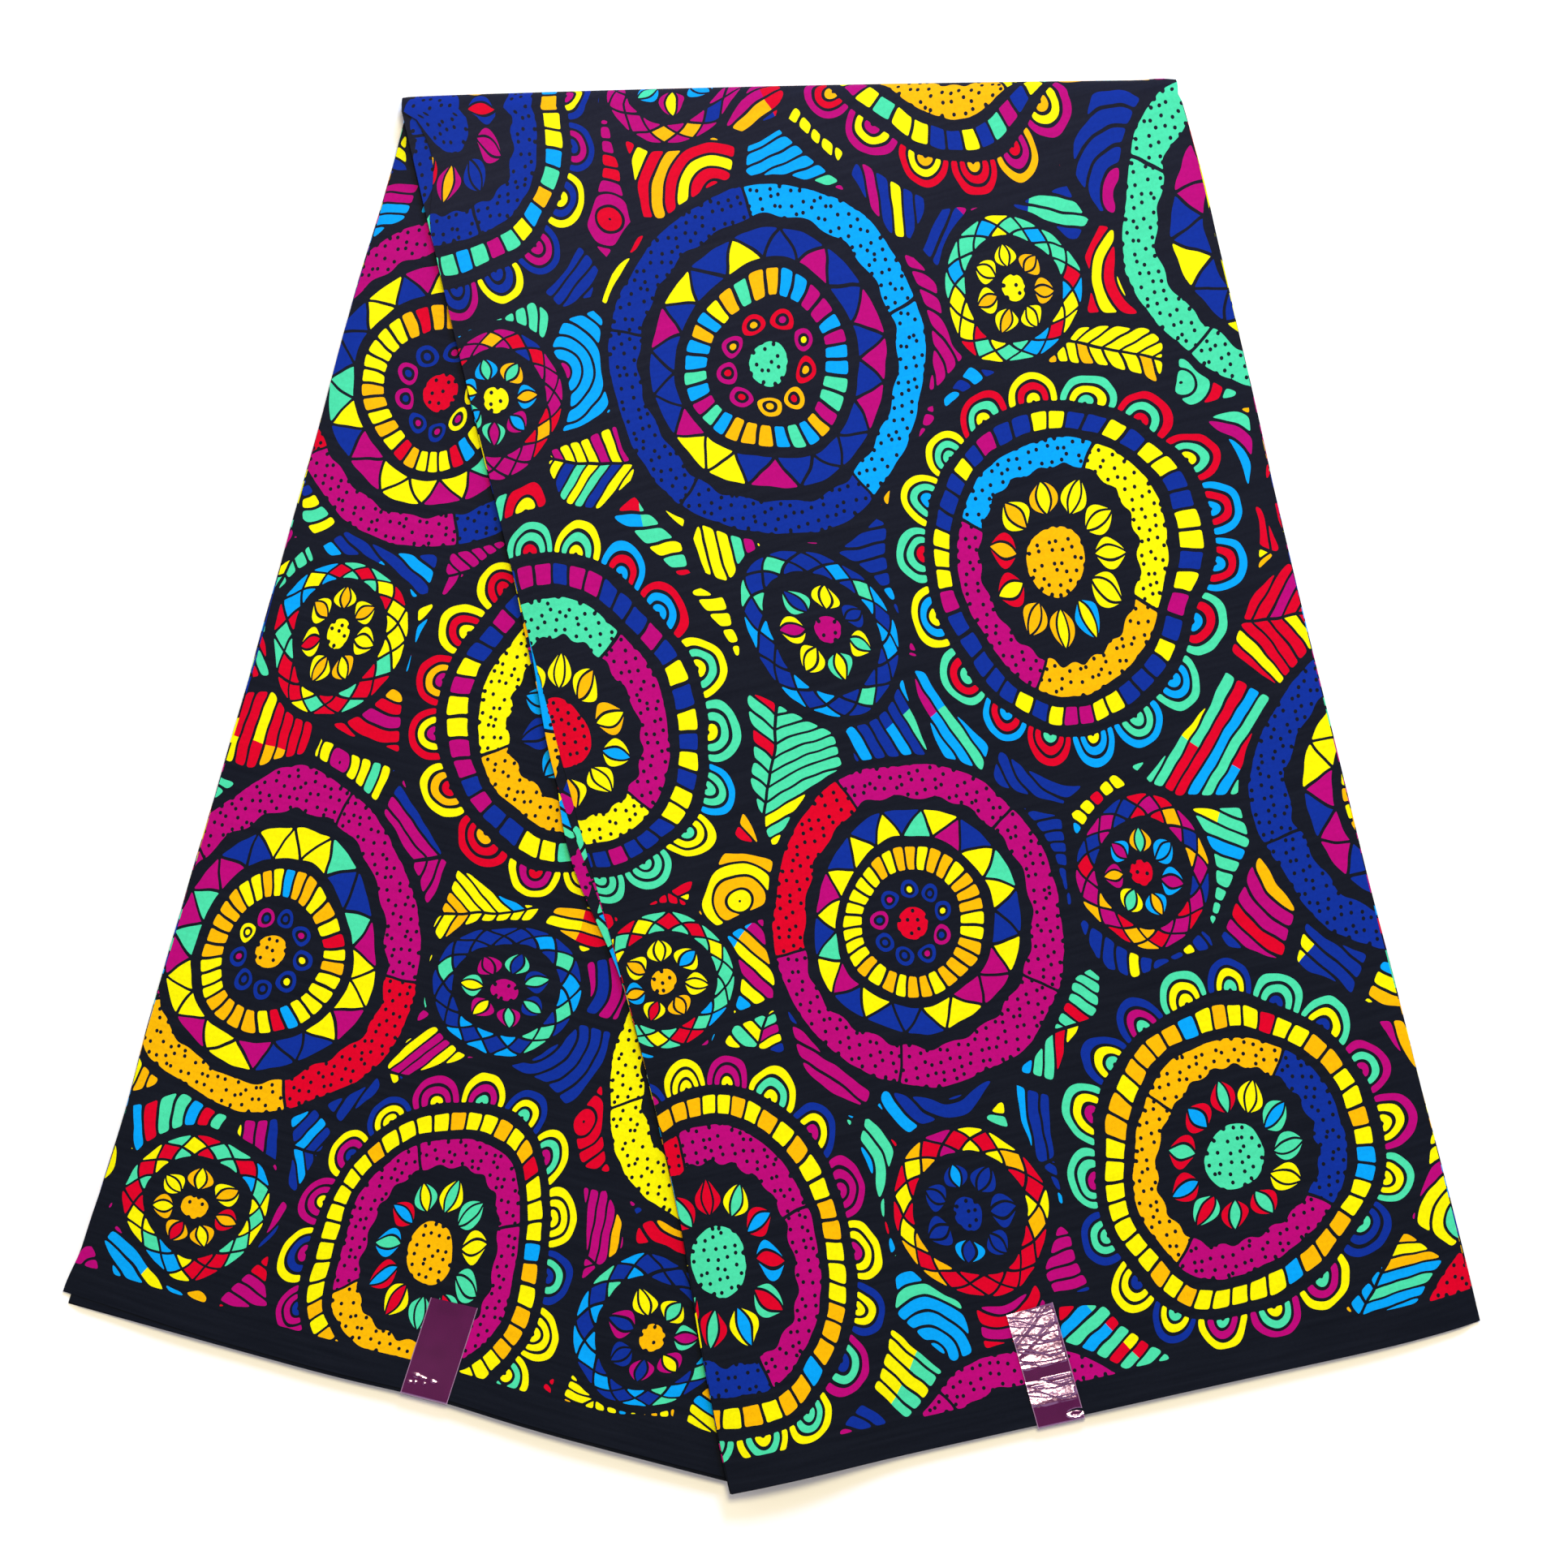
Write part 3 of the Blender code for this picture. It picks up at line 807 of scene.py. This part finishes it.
def skin(name, points, quads, uv, material, map_name):
    """A mesh object in the frame, from arrays of points, quads and each point's u and v."""
    mesh = bpy.data.meshes.new(name)
    mesh.vertices.add(len(points))
    mesh.vertices.foreach_set("co", (points + SHIFT).astype(np.float32).ravel())
    mesh.loops.add(quads.size)
    mesh.loops.foreach_set("vertex_index", quads.astype(np.int32).ravel())
    mesh.polygons.add(len(quads))
    mesh.polygons.foreach_set("loop_start", np.arange(0, quads.size, 4, dtype=np.int32))
    mesh.uv_layers.new(name=map_name).data.foreach_set("uv", uv[quads.ravel()].astype(np.float32).ravel())
    mesh.update(calc_edges=True)
    mesh.shade_smooth()
    mesh.set_sharp_from_angle(angle=math.radians(50))
    mesh.materials.append(material)
    made = bpy.data.objects.new(name, mesh)
    bpy.context.scene.collection.objects.link(made)
    return made


def make_layers(name, last, first, node):
    """The layers from last in to first as one piece of cloth, in place of a plain solid."""
    made = skin(name, *folded_cloth(last, first), cotton, "cloth")
    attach(made, "root")
    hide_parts(node)


make_layers("outer_leaf_cloth", 17, 14, "outer_leaf")


# The hidden layers: the same cloth, ten layers of it between the outer and the inner leaf. Only their round
# sides, their selvages and a few slivers along the front half's left side show. They are two stretches.
make_layers("hidden_layers_cloth", 13, 10, "hidden_layers")
make_layers("hidden_layers_cloth_inner", 9, 4, "hidden_layers")


# The inner leaf: the innermost layers of the same cloth. They are the face of the back half at the left, and
# go up round the inside of the top fold and down under the front half.
make_layers("inner_leaf_cloth", 3, 1, "inner_leaf")


# The seals: strips of dark purple glossy film, each stuck on a half's face and turned down over its layered
# selvages to hold them together. The film is thin and wrinkles where it was pressed on.
FILM_DARK = linear(70, 6, 54)
FILM_PALE = linear(98, 20, 78)
# The paler colour for the film's cut sides is a painted highlight, standing in for light caught on its
# edges.
FILM_EDGE_HIGHLIGHT = linear(158, 120, 152)
SEAL_WIDTH = 20.6 * MM
SEAL_WALL = 0.1 * MM
SEAL_LIFT = 0.1 * MM
SEAL_HIGHLIGHT_WIDTH = 0.35 * MM
SEAL_CORNER = 0.8 * MM
SEAL_FOOT = 0.35 * MM
SEAL_MARGIN = 1.6 * MM
FLAT_ROWS, BEND_ROWS, DROP_ROWS, SEAL_COLUMNS = 190, 8, 14, 81
# turned is where the film turns down, past the half's end, skew how far askew its two ends lie, and zones
# how crumpled it is down its length. A blister and a dent have a place down and across the film and two
# radii, and a crease has the place where it crosses the film's middle, and a slant.
SEALS = {
    "seal_left": {
        "half": "back", "across": 0.5267, "flap": 42.2 * MM, "turned": -0.9 * MM,
        "turn": math.radians(-2.7), "skew": (-0.085, -0.065), "seed": 5, "slope": 0.0,
        "steepness": math.radians(78), "pleats": [], "zones": {0.0: 0.0}, "blister": None,
        "creases": [],
        "dents": [
            (0.812, -0.29, 0.9 * MM, 1.7 * MM), (0.818, -0.16, 0.6 * MM, 0.7 * MM),
            (0.823, -0.09, 0.6 * MM, 0.7 * MM), (0.828, 0.06, 0.6 * MM, 0.8 * MM),
            (0.832, 0.12, 0.5 * MM, 1.0 * MM), (0.888, -0.38, 0.6 * MM, 1.1 * MM),
            (0.880, -0.27, 0.7 * MM, 0.8 * MM), (0.872, -0.08, 0.6 * MM, 0.6 * MM),
        ],
    },
    "seal_right": {
        "half": "front", "across": 0.44, "flap": 50.3 * MM, "turned": 0.7 * MM,
        "turn": math.radians(2.5), "skew": (0.0, 0.05), "seed": 9, "slope": 0.1 * MM,
        "steepness": math.radians(80), "pleats": [6.3, 3.9],
        "zones": {
            0.0: 1.0, 0.27: 1.0, 0.32: 0.6, 0.45: 0.6, 0.49: 0.9, 0.51: 0.0, 0.6: 0.0, 0.62: 0.8,
            0.65: 0.3, 0.67: 1.0, 0.82: 1.0, 0.84: 0.0, 1.0: 0.0,
        },
        "blister": (0.955, 0.35, 1.9 * MM, 4.2 * MM), "creases": [(0.13, 0.75), (0.27, 0.6)], "dents": [],
    },
}
# A pleat's slope and share of rise, the crumples' slope, and each set's least and greatest spacing in mm
PLEAT_RISE = 0.115
PLEAT_SHARE = 0.91
CRUMPLE = 0.036
CRUMPLE_SETS = [(3.5, 8.0)] * 5 + [(1.3, 2.8)] * 4
# The wrinkled film stands this far off the cloth, and comes down to it between two shares of its length.
STAND_OFF = 0.6 * MM
STAND_OFF_END = ((0.80, 0.94), (1.0, 0.0))
CREASE = {"width": 1.5 * MM, "height": 0.34 * MM}
DENT_SLOPE = 0.34
BLISTER_TILT = (0.23, -0.04)


def make_film():
    """Purple film: glossy and dark plum, a little cloudy, with its finest wrinkles as bumps. It is paler
    along its cut sides, which is a painted highlight for light caught on its edges. The film's own map runs
    across it and down it, in metres, and its "wrinkles" values say where it is wrinkled."""
    finish = {"IOR": 2.1, "Specular IOR Level": 1.0, "Specular Tint": (0.78, 0.57, 1.0, 1.0)}
    material, tree, shader = new_material("seal_film", finish)
    place = shader_node(tree, "UVMap", [], uv_map="film").outputs[0]
    wrinkled = Number(tree, shader_node(tree, "Attribute", [], attribute_name="wrinkles").outputs["Fac"])
    cloudy = noise(tree, place, 60.0, 2.0)
    colour = mix(tree, "RGBA", cloudy, FILM_DARK, FILM_PALE)
    # A painted highlight: a paler band along both cut sides of the film, in place of light caught on its
    # edges.
    cut = split(tree, place)[0].size().over(SEAL_WIDTH / 2 - SEAL_HIGHLIGHT_WIDTH)
    colour = mix(tree, "RGBA", cut, colour, FILM_EDGE_HIGHLIGHT)
    plug(tree, shader.inputs["Base Color"], colour)
    plug(tree, shader.inputs["Roughness"], wrinkled * 0.11 + 0.15)
    add_bump(tree, shader, Number(tree, noise(tree, place, 1200.0, 2.0)) * wrinkled, 1.0, 0.05 * MM)
    return material


film = make_film()


def wrinkle_relief(down, aside, size):
    """The height of the film's wrinkles, in metres. Pleats run across the strip: each is a saw tooth, which
    rises gently down the strip and falls back steeply. Crumples are sets of zigzags in random headings,
    which cut the film into small flat facets. Creases are straight ridges with two flat sides."""
    luck = np.random.default_rng(size["seed"])
    total = np.zeros(down.shape)
    for spacing in size["pleats"]:
        slant = luck.uniform(-0.45, -0.10)
        wander = 0.3 * np.sin(aside / (luck.uniform(3.0, 6.0) * MM) + luck.uniform(0, 6))
        turn = ((down + slant * aside) / (spacing * MM) + luck.uniform() + wander) % 1.0
        tooth = np.minimum(turn, (1 - turn) * PLEAT_SHARE / (1 - PLEAT_SHARE))
        total = total + PLEAT_RISE * spacing * MM * tooth
    for low, high in CRUMPLE_SETS:
        way = luck.uniform(0, np.pi)
        spacing = luck.uniform(low, high) * MM
        wander = 0.2 * np.sin(down / (luck.uniform(0.6, 1.2) * spacing) + luck.uniform(0, 6))
        turn = ((down * np.cos(way) + aside * np.sin(way)) / spacing + luck.uniform() + wander) % 1.0
        total = total + CRUMPLE * spacing * np.abs(turn - 0.5)
    for place, slant in size["creases"]:
        gap = np.abs(down + size["flap"] * (1 - place) + slant * aside) / math.hypot(1, slant)
        total = total + CREASE["height"] * np.clip(1 - gap / CREASE["width"], 0, 1)
    return total


def film_surface(size):
    """A seal as a closed skin. Its middle line runs flat over the half's face, turns down in an arc past
    the selvage and slants out to just over the table, and it is carried across the seal's width. Dents are
    bells, and a blister is a ring of film with one even tilt. Gives points, quads, u and v, and wrinkles."""
    half = size["half"]
    lie = outline_point(half, np.array(size["across"]), np.array(1.0))
    down_way = heading(HALVES[half]["tilt"] + size["turn"] - math.pi / 2)
    across_way = heading(HALVES[half]["tilt"] + size["turn"])
    corner = size["turned"]
    flat = np.linspace(corner - size["flap"], corner, FLAT_ROWS)
    bend = np.linspace(0, size["steepness"], BEND_ROWS)[1:]
    aside = (np.linspace(-0.5, 0.5, SEAL_COLUMNS) * SEAL_WIDTH)[None, :]

    askew = np.interp(flat, flat[[0, -1]], size["skew"])[:, None] * aside
    plan = lie + (flat[:, None] + askew)[..., None] * down_way + aside[..., None] * across_way
    edge_way, in_way = directions(half, np.array(1.0))
    down = np.clip(1 + (plan - lie) @ in_way / HALVES[half]["length"], 0, 1)
    from_left = size["across"] * STRIP + (plan - lie) @ edge_way
    top_radius = 0.0 if half == "back" else STACK
    top = stack_height(half, plan, from_left, down, top_radius) + SEAL_LIFT
    top = top - size["slope"] * smooth_step(1 + (flat - corner) / (7 * MM))[:, None]

    edge = top[-1:]
    arc_out = (SEAL_CORNER * np.sin(bend))[:, None]
    arc_fall = (SEAL_CORNER * (1 - np.cos(bend)))[:, None]
    fall = np.linspace(0, 1, DROP_ROWS)[1:, None] * (edge - arc_fall[-1] - SEAL_FOOT)
    out = np.concatenate([flat[:, None] + askew, corner + arc_out + askew[-1],
                          corner + arc_out[-1] + askew[-1] + fall / math.tan(size["steepness"])])
    level = np.concatenate([top, edge - arc_fall, edge - arc_fall[-1] - fall])
    lean = np.concatenate([np.zeros(FLAT_ROWS), bend, np.full(DROP_ROWS - 1, size["steepness"])])[:, None]

    run = np.concatenate([flat, corner + SEAL_CORNER * bend, corner + SEAL_CORNER * bend[-1] + fall[:, 0]])
    run = run[:, None]
    share = np.clip((run - run[0]) / size["flap"], 0, 1)
    wrinkles = np.interp(share, list(size["zones"]), list(size["zones"].values()))
    wrinkles = wrinkles * smooth_step((SEAL_WIDTH / 2 - aside) / SEAL_MARGIN)
    relief = wrinkle_relief(run + 0 * aside, aside + 0 * run, size) - STAND_OFF
    stand = STAND_OFF * np.interp(share, *STAND_OFF_END)
    relief = stand * bool(size["pleats"]) + relief * wrinkles
    if size["blister"]:
        place, offset, radius_down, radius_across = size["blister"]
        past, beside = (share - place) * size["flap"], aside - offset * SEAL_WIDTH
        ring = np.hypot(past / radius_down, beside / radius_across)
        ring = smooth_step((1.1 - ring) / 0.15) * smooth_step((ring - 0.48) / 0.15)
        relief = relief + (BLISTER_TILT[0] * past + BLISTER_TILT[1] * beside) * ring
    for place, offset, radius_down, radius_across in size["dents"]:
        past, beside = (share - place) * size["flap"], aside - offset * SEAL_WIDTH
        away = np.hypot(past / radius_down, beside / radius_across)
        relief = relief + DENT_SLOPE * radius_down * bell(away)
    layers = []
    for lift in (relief + SEAL_WALL, relief):
        past = out + lift * np.sin(lean)
        height = level + lift * np.cos(lean)
        plan = lie + past[..., None] * down_way + aside[..., None] * across_way
        layers.append(np.dstack([plan, height]).reshape(-1, 3))
    count = relief.size
    index = np.arange(count).reshape(relief.shape)
    upper = np.stack([index[:-1, :-1], index[1:, :-1], index[1:, 1:], index[:-1, 1:]], axis=-1)
    upper = upper.reshape(-1, 4)
    rim = np.concatenate([index[:, 0], index[-1, 1:], index[-2::-1, -1], index[0, -2:0:-1]])
    after = np.roll(rim, -1)
    edges = np.stack([after, rim, rim + count, after + count], axis=-1)
    quads = np.concatenate([upper, upper[:, ::-1] + count, edges])
    uv = np.tile(np.stack([aside + 0 * run, run + 0 * aside], axis=-1).reshape(-1, 2), (2, 1))
    return np.concatenate(layers), quads, uv, np.tile(wrinkles.ravel(), 2)


for name, size in SEALS.items():
    points, quads, uv, wrinkles = film_surface(size)
    made = skin(f"{name}_film", points, quads, uv, film, "film")
    wrinkled = made.data.attributes.new("wrinkles", "FLOAT", "POINT")
    wrinkled.data.foreach_set("value", wrinkles.astype(np.float32))
    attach(made, "root")
    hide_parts(name)


# The table: a plain white matt top, much wider than the cloth.
TABLE_REACH = 5.0
TABLE_LEVEL = -0.2 * MM
square = [(-1, -1), (1, -1), (1, 1), (-1, 1)]
corners = [(x * TABLE_REACH, y * TABLE_REACH, TABLE_LEVEL) for x, y in square]
table_mesh = bpy.data.meshes.new("white_table")
table_mesh.from_pydata(corners, [], [(0, 1, 2, 3)])
white, _, _ = new_material("white_top", {
    "Base Color": (0.94, 0.94, 0.94, 1.0), "Roughness": 0.9, "Specular IOR Level": 0.1})
table_mesh.materials.append(white)
table = bpy.data.objects.new("white_table", table_mesh)
bpy.context.scene.collection.objects.link(table)


# Light: a small warm lamp high over the cloth, which also glints in the film, soft cool daylight from a
# window beyond the top fold, and a pale room, which is dimmer straight overhead.
LAMPS = {
    "warm_lamp": {"at": (0.14, 0.46, 2.0), "side": 0.45, "power": 30.5, "colour": (1.0, 0.86, 0.48)},
    "window": {"at": (0.55, 2.0, 2.1), "side": 0.75, "power": 58.0, "colour": (0.24, 0.47, 1.0)},
}
for name, size in LAMPS.items():
    lamp = bpy.data.lights.new(name, "AREA")
    lamp.shape = "SQUARE"
    lamp.size = size["side"]
    lamp.energy = size["power"]
    lamp.color = size["colour"]
    holder = bpy.data.objects.new(name, lamp)
    x, y, z = size["at"]
    holder.location = (x, y, z)
    holder.rotation_euler = (math.atan2(math.hypot(x, y), z), 0.0, math.atan2(-y, -x) - math.pi / 2)
    holder.visible_camera = False
    holder.visible_glossy = name == "warm_lamp"
    bpy.context.scene.collection.objects.link(holder)

DIM_FROM, DIM_SPAN = 0.80, 0.12
ROOM_LIGHT, DIMMED_BY = 0.75, 0.70
room = bpy.data.worlds.new("pale_room")
room.use_nodes = True
tree = room.node_tree
direction = tree.nodes.new("ShaderNodeTexCoord").outputs["Generated"]
height = split(tree, direction)[2]
overhead = ((height - DIM_FROM) / DIM_SPAN).math("MAXIMUM", 0.0).least(1.0)
brightness = overhead.math("MULTIPLY_ADD", -DIMMED_BY, ROOM_LIGHT)
tree.nodes["Background"].inputs["Color"].default_value = (1.0, 0.95, 0.97, 1.0)
tree.links.new(brightness.socket, tree.nodes["Background"].inputs["Strength"])
bpy.context.scene.world = room


# The camera looks straight down. The cloth's middle is a little to the left of the picture's.
PHOTO_PIXELS = 1932
PIXEL = 0.348 * MM
CLOTH_MIDDLE_PIXEL = (949.5, 969.0)
CAMERA_HEIGHT = 2.2
SCALE_HEIGHT = 5 * MM
camera = bpy.data.cameras.new("camera")
camera.sensor_width = 36.0
camera.lens = camera.sensor_width * (CAMERA_HEIGHT - SCALE_HEIGHT) / (PHOTO_PIXELS * PIXEL)
eye = bpy.data.objects.new("camera", camera)
eye.location = (
    (PHOTO_PIXELS / 2 - CLOTH_MIDDLE_PIXEL[0]) * PIXEL,
    (CLOTH_MIDDLE_PIXEL[1] - PHOTO_PIXELS / 2) * PIXEL,
    CAMERA_HEIGHT,
)
bpy.context.scene.collection.objects.link(eye)
bpy.context.scene.camera = eye
bpy.context.scene.view_settings.view_transform = "Standard"
